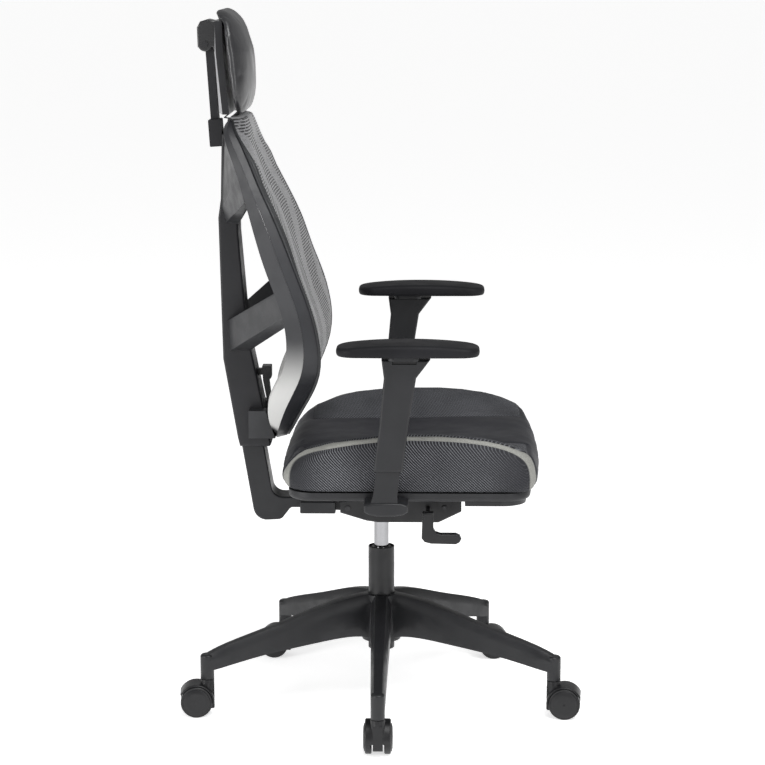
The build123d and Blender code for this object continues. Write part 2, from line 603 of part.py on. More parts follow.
def pad_plan(inset):
    """An armrest pad from above."""
    half, length = PAD_WIDTH / 2 - inset, PAD_LENGTH / 2 - inset
    outline = [
        ThreePointArc((-half + 7, -length), (0, -length - 1), (half - 7, -length)),
        ThreePointArc((half - 7, -length), (half, 0), (half - 7, length)),
        ThreePointArc((half - 7, length), (0, length + 1), (-half + 7, length)),
        ThreePointArc((-half + 7, length), (-half, 0), (-half + 7, -length)),
    ]
    face = make_face(outline)
    return fillet(face.vertices(), 22)


# ---------------------------------------------------------------- the whole chair
add("star_base", star_base())
casters()
column()
mechanism()
bracket = recline_bracket()
add("recline_bracket", bracket)
add("j_bar", j_bar())
add("j_bar_bolts", Compound(children=[hex_bolt(x, y, 376, 385, 402) for x, y in J_BOLTS]))
lever()
seat()
back()
headrest()
armrest("right", -1, 0, 0)
armrest("left", 1, LEFT_ARM_RAISE, LEFT_PAD_FORWARD)

os.makedirs("parts", exist_ok=True)
for node, shape in PARTS.items():
    export_step(shape, f"parts/{node}.step")
print(len(PARTS), "pieces")
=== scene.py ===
import math

import bmesh
import bpy
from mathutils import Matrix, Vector, noise


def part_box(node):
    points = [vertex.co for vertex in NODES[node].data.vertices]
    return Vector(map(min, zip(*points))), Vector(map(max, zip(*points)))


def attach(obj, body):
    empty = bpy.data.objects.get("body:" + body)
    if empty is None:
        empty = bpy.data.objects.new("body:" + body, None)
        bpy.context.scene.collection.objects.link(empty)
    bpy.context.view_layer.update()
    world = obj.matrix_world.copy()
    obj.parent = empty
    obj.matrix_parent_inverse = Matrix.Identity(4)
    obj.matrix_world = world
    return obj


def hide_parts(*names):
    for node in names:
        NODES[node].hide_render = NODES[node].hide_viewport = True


# The looks of a gaming chair around its CAD frame. Metres; the sitter faces -Y, +Z is up and
# the sitter's right hand is at -X.
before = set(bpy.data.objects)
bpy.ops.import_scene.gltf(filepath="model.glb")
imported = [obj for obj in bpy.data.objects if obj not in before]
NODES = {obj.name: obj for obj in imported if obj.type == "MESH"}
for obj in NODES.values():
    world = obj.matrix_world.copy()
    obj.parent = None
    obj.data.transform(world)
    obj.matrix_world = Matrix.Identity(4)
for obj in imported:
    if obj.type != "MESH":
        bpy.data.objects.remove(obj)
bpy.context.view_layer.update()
TAU = 2 * math.pi
GLOSS = 0.32                     # mirror reflection of the chair's plastics, leather and cloth


# ---------------------------------------------------------------- materials
class Finish:
    """A Principled material whose pattern nodes are added in a few short calls."""

    def __init__(self, name, color, roughness, **inputs):
        self.material = bpy.data.materials.new(name)
        self.material.use_nodes = True
        self.tree = self.material.node_tree
        self.shader = next(n for n in self.tree.nodes if n.type == "BSDF_PRINCIPLED")
        self.color = color
        self.normal = None
        self.set("Base Color", (*color, 1.0))
        self.set("Roughness", roughness)
        self.set("Specular IOR Level", GLOSS)
        for key, value in inputs.items():
            self.set(key.replace("_", " "), value)
        self.place = self.new("TexCoord").outputs["Object"]

    def new(self, kind, **settings):
        node = self.tree.nodes.new("ShaderNode" + kind)
        for key, value in settings.items():
            setattr(node, key, value)
        return node

    def put(self, socket, value):
        if isinstance(value, bpy.types.NodeSocket):
            self.tree.links.new(value, socket)
        else:
            socket.default_value = value

    def set(self, name, value):
        self.put(self.shader.inputs[name], value)

    def axes(self):
        """The x, y and z of the point being shaded."""
        node = self.new("SeparateXYZ")
        self.put(node.inputs[0], self.place)
        return node.outputs[0], node.outputs[1], node.outputs[2]

    def math(self, operation, a, b=0.0, c=0.0):
        node = self.new("Math", operation=operation)
        for socket, value in zip(node.inputs, (a, b, c)):
            self.put(socket, value)
        return node.outputs[0]

    def span(self, value, low, high, start=0.0, end=1.0):
        """Value's way from low to high, as start to end, eased and clamped."""
        node = self.new("MapRange", interpolation_type="SMOOTHSTEP")
        for socket, number in zip(node.inputs, (value, low, high, start, end)):
            self.put(socket, number)
        return node.outputs[0]

    def stretched(self, factors):
        if factors is None:
            return self.place
        node = self.new("VectorMath", operation="MULTIPLY")
        self.put(node.inputs[0], self.place)
        node.inputs[1].default_value = factors
        return node.outputs[0]

    def noise(self, scale, detail=3.0, stretch=None):
        node = self.new("TexNoise")
        self.put(node.inputs["Vector"], self.stretched(stretch))
        node.inputs["Scale"].default_value = scale
        node.inputs["Detail"].default_value = detail
        return node.outputs["Fac"]

    def cells(self, scale, feature):
        node = self.new("TexVoronoi", feature=feature)
        self.put(node.inputs["Vector"], self.place)
        node.inputs["Scale"].default_value = scale
        return node.outputs["Distance"]

    def mix(self, factor, a, b):
        node = self.new("Mix", data_type="RGBA")
        self.put(node.inputs[0], factor)
        for socket, value in ((node.inputs[6], a), (node.inputs[7], b)):
            self.put(socket, (*value, 1.0) if isinstance(value, tuple) else value)
        return node.outputs[2]

    def bump(self, height, distance, strength=1.0):
        """Add relief on top of what is there already."""
        node = self.new("Bump")
        self.put(node.inputs["Height"], height)
        node.inputs["Distance"].default_value = distance
        node.inputs["Strength"].default_value = strength
        if self.normal is not None:
            self.put(node.inputs["Normal"], self.normal)
        self.normal = node.outputs["Normal"]
        self.set("Normal", self.normal)

    def mottle(self, amount, scale=14.0):
        """Vary the base colour a little, as moulding and handling do."""
        low = tuple(c * (1 - amount) for c in self.color)
        high = tuple(c * (1 + amount) for c in self.color)
        self.set("Base Color", self.mix(self.span(self.noise(scale), 0.35, 0.65), low, high))

    def polish(self, low, high, scale=40.0):
        """Vary the roughness between two values."""
        self.set("Roughness", self.span(self.noise(scale, 5.0), 0.3, 0.7, low, high))


def moulded(name, color, rough_low, rough_high, grain=0.00007, scale=1500.0, mottle=0.1):
    """Injection-moulded plastic with spark-eroded grain."""
    finish = Finish(name, color, rough_low)
    finish.mottle(mottle)
    finish.polish(rough_low, rough_high)
    finish.bump(finish.noise(scale, 2.0), grain)
    finish.bump(finish.noise(60.0, 2.0), 0.00025, 0.35)
    return finish.material


def brushed(name, color, rough_low, rough_high, stretch):
    """Metal with fine lines along one direction."""
    finish = Finish(name, color, rough_low, Metallic=1.0)
    lines = finish.noise(900.0, 4.0, stretch)
    finish.set("Roughness", finish.span(lines, 0.3, 0.7, rough_low, rough_high))
    finish.mottle(0.06, 30.0)
    finish.bump(lines, 0.00001, 0.5)
    return finish.material


def powder_coat(name, color):
    """Black powder coat: satin with orange peel."""
    finish = Finish(name, color, 0.38)
    finish.polish(0.32, 0.46)
    finish.mottle(0.12)
    finish.bump(finish.noise(700.0, 2.0), 0.00012, 0.6)
    return finish.material


def leather(name, color, rough_low, rough_high, **inputs):
    """Smooth synthetic leather: fine pebble grain, soft creases and slight sheen."""
    finish = Finish(name, color, rough_low, **inputs)
    leather_relief(finish)
    finish.mottle(0.15, 9.0)
    finish.polish(rough_low, rough_high, 22.0)
    return finish.material


def leather_relief(finish):
    """Fine pebble grain and soft creases."""
    finish.bump(finish.cells(620.0, "SMOOTH_F1"), 0.00022, 0.55)
    finish.bump(finish.noise(24.0, 4.0), 0.0012, 0.3)


def seat_cover():
    """The seat's whole cover: leather centre, ribbed mesh bolsters and the light bands."""
    finish = Finish("seat_cover", (0.022, 0.024, 0.031), 0.45)
    x, y, z = finish.axes()

    # the same places as untucked(), band_line() and patch_edge() measure on the mesh
    tuck_depth = TUCK_FROM - TUCK_TO
    low = finish.math("MULTIPLY_ADD", z, -1 / tuck_depth, TUCK_FROM / tuck_depth)
    low = finish.math("MINIMUM", finish.math("MAXIMUM", low, 0.0), 1.0)
    tuck = finish.math("MULTIPLY", finish.math("MULTIPLY", low, low), TUCK)
    across = finish.math("ADD", finish.math("ABSOLUTE", x), tuck)
    front = finish.span(y, -BAND_FRONT_FROM, -BAND_FRONT_TO, 0.0, BAND_FRONT_IN)
    rear = finish.span(y, BAND_REAR_FROM, BAND_REAR_TO, 0.0, BAND_REAR_IN)
    line = finish.math("SUBTRACT", BAND_X, finish.math("ADD", front, rear))
    off = finish.math("SUBTRACT", across, line)
    from_middle = finish.math("SUBTRACT", y, PATCH_MIDDLE)
    behind = finish.math("MAXIMUM", finish.math("DIVIDE", from_middle, PATCH_REAR), 0.0)
    ahead = finish.math("MAXIMUM", finish.math("DIVIDE", from_middle, -PATCH_FRONT), 0.0)
    above = finish.math("DIVIDE", finish.math("SUBTRACT", z, PATCH_FOOT), PATCH_HEIGHT)
    above = finish.math("MAXIMUM", above, 0.0)
    patch = finish.math("ADD", finish.math("POWER", behind, PATCH_REAR_POWER),
                        finish.math("POWER", ahead, PATCH_FRONT_POWER))
    patch = finish.math("ADD", patch, finish.math("POWER", above, PATCH_TOP_POWER))

    # which material is where, with borders a little soft
    soft = 0.0006
    past_inner = finish.span(off, -soft, soft)
    past_patch = finish.span(patch, 0.985, 1.015)
    band = finish.math("MULTIPLY", past_inner, past_patch)
    outside = finish.math("MULTIPLY", past_inner, finish.math("SUBTRACT", 1.0, past_patch))
    inner = finish.math("MULTIPLY", finish.span(across, CENTRE_HALF - soft, CENTRE_HALF + soft),
                        finish.span(off, soft, -soft))
    inner = finish.math("MULTIPLY", inner, finish.span(y, INNER_FRONT - soft, INNER_FRONT + soft))
    inner = finish.math("MULTIPLY", inner, finish.span(y, INNER_REAR + soft, INNER_REAR - soft))
    fabric = finish.math("MINIMUM", finish.math("ADD", outside, inner), 1.0)

    # slanting ribs of light thread, broken by knots and fading towards the seat's ends
    slant = finish.math("SUBTRACT", y, finish.math("MULTIPLY", z, 1.05))
    slant = finish.math("SUBTRACT", slant, finish.math("MULTIPLY", across, 0.9))
    wobble = finish.math("MULTIPLY", finish.noise(35.0, 1.0), 0.0012)
    slant = finish.math("ADD", slant, wobble)
    rib = finish.math("SINE", finish.math("MULTIPLY", slant, TAU / RIB_PITCH))
    along = finish.math("ADD", finish.math("MULTIPLY", y, 1.05), finish.math("ADD", z, x))
    knot = finish.math("SINE", finish.math("MULTIPLY", along, TAU / KNOT_PITCH))
    thread = finish.math("MULTIPLY", finish.span(rib, 0.1, 0.75),
                         finish.span(knot, -1.0, 0.1, 0.25, 1.0))
    fade = finish.span(finish.noise(9.0, 2.0), 0.3, 0.62, 0.6, 1.0)
    fade = finish.math("MULTIPLY", fade, finish.span(y, 0.16, 0.08))
    front_fade = finish.math("MAXIMUM", inner, finish.span(y, -0.26, -0.16, 0.12, 1.0))
    fade = finish.math("MULTIPLY", fade, front_fade)
    shown = finish.math("MULTIPLY", finish.math("MULTIPLY", thread, fade), fabric)

    tone = finish.span(finish.noise(7.0), 0.3, 0.7)
    hide = finish.mix(tone, (0.012, 0.0125, 0.016), (0.019, 0.0195, 0.024))
    color = finish.mix(fabric, hide, finish.mix(tone, (0.009, 0.0095, 0.012), (0.015, 0.0155, 0.019)))
    color = finish.mix(shown, color, (0.21, 0.215, 0.232))
    weave = finish.span(finish.noise(800.0, 2.0), 0.3, 0.7)
    color = finish.mix(band, color, finish.mix(weave, (0.17, 0.17, 0.158), (0.25, 0.25, 0.232)))
    finish.set("Base Color", color)
    rough = finish.span(finish.noise(20.0, 4.0), 0.3, 0.7, 0.50, 0.60)
    rough = finish.math("ADD", rough, finish.math("MULTIPLY", fabric, 0.2))
    rough = finish.math("ADD", rough, finish.math("MULTIPLY", band, 0.05))
    finish.set("Roughness", rough)
    leather_relief(finish)
    finish.bump(finish.math("MULTIPLY", thread, fabric), 0.0009, 0.8)
    finish.bump(seam_stitches(finish, across, y, off), 0.0005, 0.7)
    return finish.material


def seam_stitches(finish, across, y, off):
    """Short raised stitches beside the leather's seams, as a height."""
    dash = finish.span(finish.math("SINE", finish.math("MULTIPLY", y, TAU / STITCH_PITCH)), -0.5, 0.1)
    total = 0.0
    for line, offset in ((finish.math("SUBTRACT", across, CENTRE_HALF), -0.0035), (off, -0.003)):
        far = finish.math("ABSOLUTE", finish.math("SUBTRACT", line, offset))
        row = finish.math("MULTIPLY", finish.span(far, 0.0009, 0.0004), dash)
        total = finish.math("MAXIMUM", total, row)
    return total


def back_fabric():
    """Open mesh: rows of short slits in wide bands, with denser cloth between them; the openings are part
    see-through and coloured dark as painted shade.
    """
    finish = Finish("back_mesh", (0.2, 0.2, 0.205), 0.6, Sheen_Weight=0.3)
    x, _, z = finish.axes()
    row = finish.math("DIVIDE", z, MESH_ROW)
    number = finish.math("FLOOR", row)
    in_row = finish.math("ABSOLUTE", finish.math("SUBTRACT", finish.math("FRACT", row), 0.5))
    stagger = finish.math("MULTIPLY", finish.math("MODULO", number, 2.0), 0.5)
    column = finish.math("FRACT", finish.math("ADD", finish.math("DIVIDE", x, MESH_SLIT), stagger))
    in_column = finish.math("ABSOLUTE", finish.math("SUBTRACT", column, 0.5))
    slit = finish.math("MULTIPLY", finish.span(in_row, 0.33, 0.25), finish.span(in_column, 0.46, 0.42))
    sway = finish.math("MULTIPLY", finish.math("PINGPONG", z, 0.16), 0.9)
    lane = finish.math("SINE", finish.math("MULTIPLY", finish.math("ADD", x, sway), TAU / MESH_LANE))
    open_lane = finish.span(lane, -0.5, -0.25)
    pin_row = finish.math("SINE", finish.math("MULTIPLY", z, TAU / (MESH_ROW / 2)))
    pin_column = finish.math("SINE", finish.math("MULTIPLY", x, TAU / MESH_PIN))
    pin = finish.span(finish.math("MULTIPLY", pin_row, pin_column), 0.35, 0.6)
    hole = finish.math("ADD", finish.math("MULTIPLY", slit, open_lane),
                       finish.math("MULTIPLY", finish.math("MULTIPLY", pin, 0.6),
                                   finish.math("SUBTRACT", 1.0, open_lane)))
    finish.set("Alpha", finish.math("SUBTRACT", 1.0, finish.math("MULTIPLY", hole, 0.45)))
    tone = finish.span(finish.noise(260.0, 3.0), 0.3, 0.7)
    cloth = finish.mix(tone, (0.095, 0.095, 0.1), (0.175, 0.175, 0.182))
    # painted shade: slits and pinholes are coloured near black, standing in for the dark seen through the
    # openings
    finish.set("Base Color", finish.mix(hole, cloth, (0.01, 0.01, 0.012)))
    finish.bump(finish.math("SUBTRACT", 1.0, hole), 0.0006, 0.8)
    finish.bump(finish.noise(1500.0, 2.0), 0.0002, 0.6)
    return finish.material


def floor_paint():
    """White paint that glows a little, so that the floor stays white away from the lights."""
    finish = Finish("floor_paint", (0.97, 0.97, 0.97), 0.8)
    finish.set("Base Color", finish.mix(finish.noise(3.0), (0.965, 0.965, 0.965), (0.975, 0.975, 0.975)))
    finish.bump(finish.noise(400.0), 0.0001, 0.2)
    finish.set("Emission Color", (1.0, 1.0, 1.0, 1.0))
    finish.set("Emission Strength", 0.62)
    return finish.material


# ---------------------------------------------------------------- mesh helpers
def new_object(name, points, faces):
    """A smooth mesh object with its normals outward."""
    mesh = bpy.data.meshes.new(name)
    mesh.from_pydata([tuple(p) for p in points], [], faces)
    work = bmesh.new()
    work.from_mesh(mesh)
    bmesh.ops.recalc_face_normals(work, faces=work.faces)
    work.to_mesh(mesh)
    work.free()
    mesh.polygons.foreach_set("use_smooth", [True] * len(mesh.polygons))
    obj = bpy.data.objects.new(name, mesh)
    bpy.context.scene.collection.objects.link(obj)
    return obj


def ring_solid(name, rings):
    """A closed solid through rings of equally many points, with a point at each end."""
    count = len(rings[0])
    points = [p for ring in rings for p in ring]
    faces = []
    for r in range(len(rings) - 1):
        for i in range(count):
            j = (i + 1) % count
            faces.append((r * count + i, r * count + j, (r + 1) * count + j, (r + 1) * count + i))
    for ring, start in ((rings[0], 0), (rings[-1], (len(rings) - 1) * count)):
        points.append(sum((Vector(p) for p in ring), Vector()) / count)
        for i in range(count):
            faces.append((start + i, start + (i + 1) % count, len(points) - 1))
    return new_object(name, points, faces)


def resampled(raw, count):
    """Evenly spaced points along a closed line."""
    lengths = [(raw[(i + 1) % len(raw)] - raw[i]).length for i in range(len(raw))]
    step = sum(lengths) / count
    out, index, passed = [], 0, 0.0
    for k in range(count):
        target = k * step
        while passed + lengths[index] < target and index < len(raw) - 1:
            passed += lengths[index]
            index += 1
        share = (target - passed) / max(lengths[index], 1e-9)
        out.append(raw[index].lerp(raw[(index + 1) % len(raw)], share))
    return out


def outline(half, low, high, corners, bow_low, bow_high, count):
    """Points and outward normals round a rectangle with round corners and bowed ends."""
    raw = []
    for sx, sy, start in ((1, 1, 0), (-1, 1, 90), (-1, -1, 180), (1, -1, 270)):
        corner = corners[1] if sy > 0 else corners[0]
        cx = sx * (half - corner)
        cy = high - corner if sy > 0 else low + corner
        for step in range(13):
            a = math.radians(start + 7.5 * step)
            raw.append(Vector((cx + corner * math.cos(a), cy + corner * math.sin(a))))
    points = resampled(raw, count)
    for p in points:
        bow = bow_high if p.y > (low + high) / 2 else -bow_low
        p.y += bow * (1 - min(1.0, abs(p.x) / half) ** 2)
    edge = []
    for i, p in enumerate(points):
        along = points[(i + 1) % count] - points[i - 1]
        edge.append((p, Vector((along.y, -along.x)).normalized()))
    return edge


def cushion(name, edge, bottom, base_at, top_at, round_at, wall, place, power=0.9, inner_rings=22):
    """A closed pad: a wall up from its bottom, a rounded shoulder and a shaped top."""
    middle = sum((p for p, n in edge), Vector((0, 0))) / len(edge)

    def ring(inset, height):
        out = []
        for p, n in edge:
            q = p - n * inset(n)
            out.append(place(q.x, q.y, height(q, n)))
        return out

    rings = []
    for inset, part in wall:
        rings.append(ring(lambda n, i=inset: i, lambda q, n, s=part: bottom + (base_at(n) - bottom) * s))
    for step in range(1, 10):
        a = math.radians(10 * step)
        rise = math.sin(a) ** power
        rings.append(ring(lambda n, a=a: round_at(n) * (1 - math.cos(a)),
                          lambda q, n, r=rise: base_at(n) + (top_at(q.x, q.y) - base_at(n)) * r))
    for k in range(1, inner_rings):
        out = []
        for p, n in edge:
            q = (p - n * round_at(n)).lerp(middle, k / inner_rings)
            out.append(place(q.x, q.y, top_at(q.x, q.y)))
        rings.append(out)
    return ring_solid(name, rings)


def apply_modifiers(obj):
    """Keep an object's mesh as its modifiers show it."""
    graph = bpy.context.evaluated_depsgraph_get()
    shown = bpy.data.meshes.new_from_object(obj.evaluated_get(graph))
    obj.modifiers.clear()
    plain, obj.data = obj.data, shown
    bpy.data.meshes.remove(plain)
    obj.data.polygons.foreach_set("use_smooth", [True] * len(obj.data.polygons))


def remeshed(obj, voxel):
    """Rebuild a mesh from even voxels and smooth it."""
    remesh = obj.modifiers.new("remesh", "REMESH")
    remesh.mode = "VOXEL"
    remesh.voxel_size = voxel
    apply_modifiers(obj)
    smooth = obj.modifiers.new("smooth", "SMOOTH")
    smooth.iterations = 3
    apply_modifiers(obj)


def inflate(obj, cap, held, pressure=4.0):
    """Round a cushion with a short cloth simulation in which no point moves beyond the cap."""
    start = [v.co.copy() for v in obj.data.vertices]
    group = obj.vertex_groups.new(name="held")
    for v in obj.data.vertices:
        group.add([v.index], min(1.0, max(0.0, held(v.co))), "REPLACE")
    cloth = obj.modifiers.new("cloth", "CLOTH")
    settings = cloth.settings
    settings.quality = 4
    settings.mass = 0.3
    settings.tension_stiffness = settings.compression_stiffness = 12
    settings.bending_stiffness = 0.3
    settings.use_pressure = True
    settings.uniform_pressure_force = pressure
    settings.effector_weights.gravity = 0
    settings.vertex_group_mass = "held"
    cloth.collision_settings.use_collision = False
    cloth.point_cache.frame_start, cloth.point_cache.frame_end = 1, 20
    for step in range(1, 21):
        bpy.context.scene.frame_set(step)
    graph = bpy.context.evaluated_depsgraph_get()
    moved = [v.co.copy() for v in obj.evaluated_get(graph).data.vertices]
    obj.modifiers.clear()
    obj.vertex_groups.clear()
    bpy.context.scene.frame_set(1)
    for v, a, b in zip(obj.data.vertices, start, moved):
        shift = b - a
        v.co = a + shift * min(1.0, cap / max(shift.length, 1e-9))


def subdivided(obj):
    """Refine a mesh by one level of subdivision."""
    subdivision = obj.modifiers.new("fine", "SUBSURF")
    subdivision.levels = 1
    apply_modifiers(obj)


def press(obj, height_at):
    """Move each vertex along its normal by a height in metres."""
    normals = [v.normal.copy() for v in obj.data.vertices]
    for v, n in zip(obj.data.vertices, normals):
        v.co += n * height_at(v.co)
    obj.data.update()


def tube(name, points, radius, cyclic):
    """A round cord through points."""
    curve = bpy.data.curves.new(name, "CURVE")
    curve.dimensions = "3D"
    spline = curve.splines.new("POLY")
    spline.points.add(len(points) - 1)
    for point, place in zip(spline.points, points):
        point.co = (*place, 1.0)
    spline.use_cyclic_u = cyclic
    curve.bevel_depth = radius
    curve.bevel_resolution = 3
    source = bpy.data.objects.new(name + "_line", curve)
    bpy.context.scene.collection.objects.link(source)
    graph = bpy.context.evaluated_depsgraph_get()
    mesh = bpy.data.meshes.new_from_object(source.evaluated_get(graph))
    bpy.data.objects.remove(source)
    mesh.polygons.foreach_set("use_smooth", [True] * len(mesh.polygons))
    obj = bpy.data.objects.new(name, mesh)
    bpy.context.scene.collection.objects.link(obj)
    return obj


def between(table, at):
    """Read a table of (position, value) pairs by straight lines."""
    if at <= table[0][0]:
        return table[0][1]
    for (a, va), (b, vb) in zip(table, table[1:]):
        if at <= b:
            return va + (vb - va) * (at - a) / (b - a)
    return table[-1][1]


def ease(value, low, high):
    """Value's way from low to high, from 0 to 1, as Finish.span() eases it."""
    t = min(1.0, max(0.0, (value - low) / (high - low)))
    return t * t * (3 - 2 * t)


def groove(distance, width):
    """1 on a line, falling to 0 within about twice the width."""
    return math.exp(-((distance / width) ** 2))


def finished(obj, material, body, slot, *replaced):
    """Give a piece its material, its body and the CAD nodes it stands for; the slot argument is not used.
    """
    obj.data.materials.clear()
    obj.data.materials.append(material)
    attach(obj, body)
    if replaced:
        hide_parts(*replaced)
    return obj


# ---------------------------------------------------------------- seat
CENTRE_HALF = 0.132              # the leather centre's half width
BAND_X = 0.2435                  # the light band's inner edge
BAND_FRONT_FROM, BAND_FRONT_TO, BAND_FRONT_IN = 0.235, 0.285, 0.012
BAND_REAR_FROM, BAND_REAR_TO, BAND_REAR_IN = 0.04, 0.165, 0.032
PATCH_MIDDLE, PATCH_REAR, PATCH_FRONT = -0.0523, 0.2152, 0.2205   # the ribbed patch on the seat's side
PATCH_FOOT, PATCH_HEIGHT = 0.464, 0.098
PATCH_REAR_POWER, PATCH_FRONT_POWER, PATCH_TOP_POWER = 1.37, 2.32, 4.63
INNER_FRONT, INNER_REAR = -0.270, 0.138   # the ends of the mesh between centre and band
TUCK, TUCK_FROM, TUCK_TO = 0.015, 0.508, 0.464   # how far the side wall runs in towards its foot
RIB_PITCH, KNOT_PITCH, STITCH_PITCH = 0.0056, 0.0038, 0.0045
SEAT_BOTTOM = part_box("seat_cushion")[0].z
SEAT_HALF, SEAT_FRONT, SEAT_REAR = 0.2605, -0.2845, 0.175   # the cover's outline at its widest
WALL_TOP, WALL_RISE = 0.486, 0.022   # the wall's height at the ends, and its rise to the sides
# the heights of the bolsters' crest and of the centre, from front to rear
RIDGE = [(-0.299, 0.523), (-0.27, 0.537), (-0.236, 0.552), (-0.199, 0.5625), (-0.155, 0.568),
         (-0.11, 0.571), (-0.06, 0.5715), (0.0, 0.5685), (0.052, 0.563), (0.09, 0.555),
         (0.133, 0.540), (0.163, 0.521), (0.186, 0.505)]
CENTRE = [(-0.299, 0.527), (-0.262, 0.534), (-0.2, 0.533), (-0.1, 0.530), (0.0, 0.528),
          (0.1, 0.528), (0.15, 0.524), (0.186, 0.505)]


def seat_top(x, y):
    """Height of the seat: a flat centre between two bolsters."""
    low, high = between(CENTRE, y), between(RIDGE, y)
    across = abs(x)
    crest = BAND_X - 0.002 - BAND_REAR_IN * ease(y, BAND_REAR_FROM, BAND_REAR_TO)
    lift = ease(across, CENTRE_HALF - 0.012, crest)
    dish = 0.003 * (1 - ease(across, 0.0, CENTRE_HALF))
    return low + (high - low) * lift - dish - 0.3 * max(0.0, across - crest - 0.004)


def band_line(y):
    """How far out the light band's inner edge runs at y."""
    front = BAND_FRONT_IN * ease(-y, BAND_FRONT_FROM, BAND_FRONT_TO)
    rear = BAND_REAR_IN * ease(y, BAND_REAR_FROM, BAND_REAR_TO)
    return BAND_X - front - rear


def untucked(p):
    """How far out a point is, as if the wall below the bolster stood upright."""
    share = min(1.0, max(0.0, (TUCK_FROM - p.z) / (TUCK_FROM - TUCK_TO)))
    return abs(p.x) + TUCK * share * share


def patch_edge(p):
    """About how far a point on the side is from the ribbed patch's outline."""
    behind = max(0.0, (p.y - PATCH_MIDDLE) / PATCH_REAR)
    ahead = max(0.0, (PATCH_MIDDLE - p.y) / PATCH_FRONT)
    above = max(0.0, (p.z - PATCH_FOOT) / PATCH_HEIGHT)
    at = behind ** PATCH_REAR_POWER + ahead ** PATCH_FRONT_POWER + above ** PATCH_TOP_POWER
    slope_y = max(behind, ahead) * PATCH_FRONT_POWER / PATCH_FRONT
    slope_z = PATCH_TOP_POWER * above ** (PATCH_TOP_POWER - 1) / PATCH_HEIGHT
    return (at - 1) / math.hypot(slope_y + 2.0, slope_z)


def seam_groove(p):
    """1 on the seat's seams and 0 away from them."""
    across = untucked(p)
    line = band_line(p.y)
    found = groove(across - line, 0.0032)
    if across > line:
        found = max(found, groove(patch_edge(p), 0.0032))
    if INNER_FRONT < p.y < INNER_REAR:
        found = max(found, groove(across - CENTRE_HALF, 0.0045))
    if CENTRE_HALF < across < line and p.z > 0.49:
        found = max(found, groove(p.y - INNER_FRONT, 0.004), groove(p.y - INNER_REAR, 0.004))
    return found


def build_seat():
    """The seat's cover: one padded piece, blown up against its seams."""
    edge = outline(SEAT_HALF, SEAT_FRONT, SEAT_REAR, (0.036, 0.060), 0.0125, 0.0085, 240)
    seat = cushion("seat_cushion_cover", edge, SEAT_BOTTOM + 0.0005,
                   lambda n: WALL_TOP + WALL_RISE * n.x * n.x,
                   seat_top,
                   lambda n: 0.013 + 0.020 * max(0.0, n.y) ** 2 + 0.006 * max(0.0, -n.y) ** 2,
                   ((0.016, 0.0), (0.013, 0.04), (0.008, 0.25), (0.003, 0.6), (0.0, 1.0)),
                   lambda x, y, z: Vector((x, y, z)))
    remeshed(seat, 0.0055)
    inflate(seat, 0.004, lambda p: max(seam_groove(p), 1.0 - ease(p.z, 0.466, 0.476)))
    subdivided(seat)
    press(seat, lambda p: -0.0026 * seam_groove(p) * ease(p.z, 0.468, 0.476)
          + 0.0009 * noise.noise(p * 26.0) * ease(p.z, 0.47, 0.49))
    for v in seat.data.vertices:
        v.co.z = max(v.co.z, SEAT_BOTTOM + 0.0003)
    finished(seat, seat_cover(), "seat", "seat_cover", "seat_cushion")


# ---------------------------------------------------------------- headrest
HEAD_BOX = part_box("head_cushion")
HEAD_FOOT_Y, HEAD_FOOT_Z, HEAD_LEAN, HEAD_WRAP = 0.2615, 1.129, 0.118, 0.014
# the y of the cushion's front at each height
HEAD_CREST = [(1.13, 0.2400), (1.16, 0.2390), (1.19, 0.2375), (1.22, 0.2375), (1.25, 0.2405),
              (1.28, 0.2500), (1.325, 0.2640)]


def head_rear(z):
    """The cushion's rear plane, which leans with its shell and wraps over its top."""
    return HEAD_FOOT_Y + (z - HEAD_FOOT_Z) * HEAD_LEAN + HEAD_WRAP * ease(z, 1.300, 1.315)


def head_depth(x, z):
    """How far the cushion stands out in front of its rear plane."""
    return head_rear(z) - between(HEAD_CREST, z) - 0.006 * ease(abs(x), 0.04, 0.13)


def build_headrest():
    """The headrest's leather cushion on its shell."""
    half = HEAD_BOX[1].x - 0.003
    edge = outline(half, HEAD_BOX[0].z - 0.0005, HEAD_BOX[1].z - 0.001, (0.058, 0.058), 0.0, 0.0, 200)
    head = cushion("headrest_cushion", edge, 0.0, lambda n: 0.006,
                   head_depth,
                   lambda n: 0.036 + 0.022 * n.x * n.x,
                   ((0.012, 0.0), (0.004, 0.0), (0.001, 0.3), (0.0, 1.0)),
                   lambda x, z, out: Vector((x, head_rear(z) - out, z)), power=0.95)
    remeshed(head, 0.0045)
    inflate(head, 0.004, lambda p: 1.0 - ease(head_rear(p.z) - p.y, 0.003, 0.012))
    subdivided(head)
    press(head, lambda p: 0.0010 * noise.noise(p * 22.0) * ease(head_rear(p.z) - p.y, 0.004, 0.02))
    material = leather("headrest_leather", (0.011, 0.011, 0.0125), 0.3, 0.4, Specular_IOR_Level=0.6,
                       Coat_Weight=0.1)
    finished(head, material, "headrest", "head_leather", "head_cushion")


